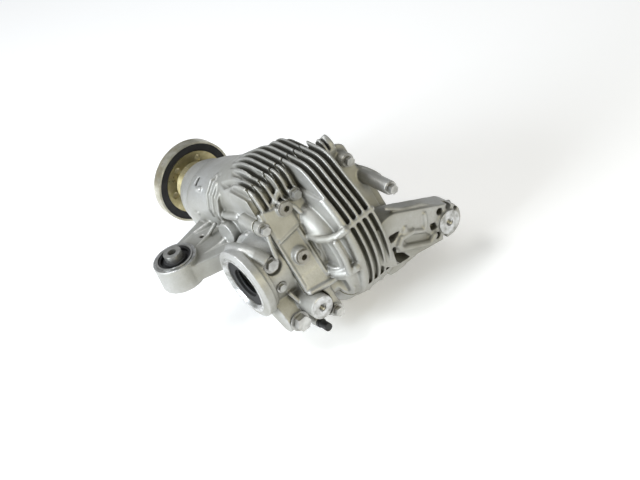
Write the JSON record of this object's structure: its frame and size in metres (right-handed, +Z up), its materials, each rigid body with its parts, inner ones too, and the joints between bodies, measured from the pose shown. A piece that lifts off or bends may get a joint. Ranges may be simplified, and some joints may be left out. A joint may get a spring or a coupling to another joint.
{
  "type": "differential gear assembly",
  "caption": "Rear-axle final drive in a finned aluminium housing: bevel pinion and ring gear, bevel differential, damped input flange, front bush ear and threaded rear mounts.",
  "frame": {"origin": "where the pinion axis crosses the axle axis", "axes": "+X forward along the pinion axis to the input flange, +Y left along the axle axis, +Z up as mounted"},
  "size_m": [0.3845, 0.34, 0.228],
  "materials": {
    "cast_aluminium": "as-cast, dull",
    "sealant": "cured silicone bead",
    "zinc_bolts": "zinc plated",
    "plug_steel": "dull zinc plated",
    "washer_metal": "crushed sealing washer",
    "dowel_steel": "ground",
    "breather_black": "moulded",
    "bush_steel": "plain",
    "bush_rubber": "moulded rubber",
    "seal_black": "rubber-covered",
    "bearing_steel": "ground and polished",
    "gear_steel": "hardened and ground",
    "shaft_steel": "machined",
    "flange_gold": "yellow zinc plated",
    "damper_black": "bonded rubber",
    "damper_steel": "zinc plated",
    "case_iron": "machined casting"
  },
  "bodies": {
    "housing": {"front_housing": "cast_aluminium", "rear_cover": "cast_aluminium", "joint_sealant": "sealant", "cover_bolts": "zinc_bolts", "dowel_pins": "dowel_steel", "filler_plug": "plug_steel", "drain_plug": "plug_steel", "plug_washers": "washer_metal", "side_screws": "zinc_bolts", "lug_bolt": "zinc_bolts", "breather": "breather_black", "bush_shell": "bush_steel", "bush_rubber": "bush_rubber", "bush_sleeve": "bush_steel", "left_output_seal": "seal_black", "right_output_seal": "seal_black", "pinion_seal": "seal_black", "carrier_bearing_cups": "bearing_steel", "pinion_bearing_cups": "bearing_steel", "carrier_shims": "bearing_steel"},
    "input_shaft": {"pinion_gear": "gear_steel", "pinion_shim": "bearing_steel", "pinion_head_bearing": "bearing_steel", "pinion_tail_bearing": "bearing_steel", "pinion_spacer": "shaft_steel", "pinion_nut": "zinc_bolts", "input_flange": "flange_gold", "damper_rubber": "damper_black", "damper_ring": "damper_steel"},
    "carrier": {"differential_case": "case_iron", "ring_gear": "gear_steel", "ring_gear_bolts": "zinc_bolts", "cross_pin": "dowel_steel", "cross_pin_lock": "dowel_steel", "side_gear_washers": "washer_metal", "spider_washers": "washer_metal", "carrier_bearings": "bearing_steel"},
    "left_side": {"left_side_gear": "gear_steel"},
    "right_side": {"right_side_gear": "gear_steel"},
    "upper_spider": {"upper_spider_gear": "gear_steel"},
    "lower_spider": {"lower_spider_gear": "gear_steel"}
  },
  "joints": [
    {"name": "carrier_spin", "type": "hinge", "parent": "housing", "child": "carrier", "pos_m": [0, 0, 0], "axis": [0, 1, 0], "continuous": true},
    {"name": "input_spin", "type": "hinge", "parent": "housing", "child": "input_shaft", "pos_m": [0, 0, 0], "axis": [1, 0, 0], "continuous": true},
    {"name": "left_side_gear_spin", "type": "hinge", "parent": "carrier", "child": "left_side", "pos_m": [0, 0, 0], "axis": [0, 1, 0], "continuous": true},
    {"name": "right_side_gear_spin", "type": "hinge", "parent": "carrier", "child": "right_side", "pos_m": [0, 0, 0], "axis": [0, 1, 0], "continuous": true},
    {"name": "upper_spider_spin", "type": "hinge", "parent": "carrier", "child": "upper_spider", "pos_m": [0, 0, 0], "axis": [0, 0, 1], "continuous": true},
    {"name": "lower_spider_spin", "type": "hinge", "parent": "carrier", "child": "lower_spider", "pos_m": [0, 0, 0], "axis": [0, 0, 1], "continuous": true}
  ],
  "couplings": [
    {"joint": "input_spin", "follows": "carrier_spin", "ratio": 3.0769},
    {"joint": "right_side_gear_spin", "follows": "left_side_gear_spin", "ratio": -1},
    {"joint": "upper_spider_spin", "follows": "left_side_gear_spin", "ratio": -1.6},
    {"joint": "lower_spider_spin", "follows": "left_side_gear_spin", "ratio": 1.6}
  ]
}
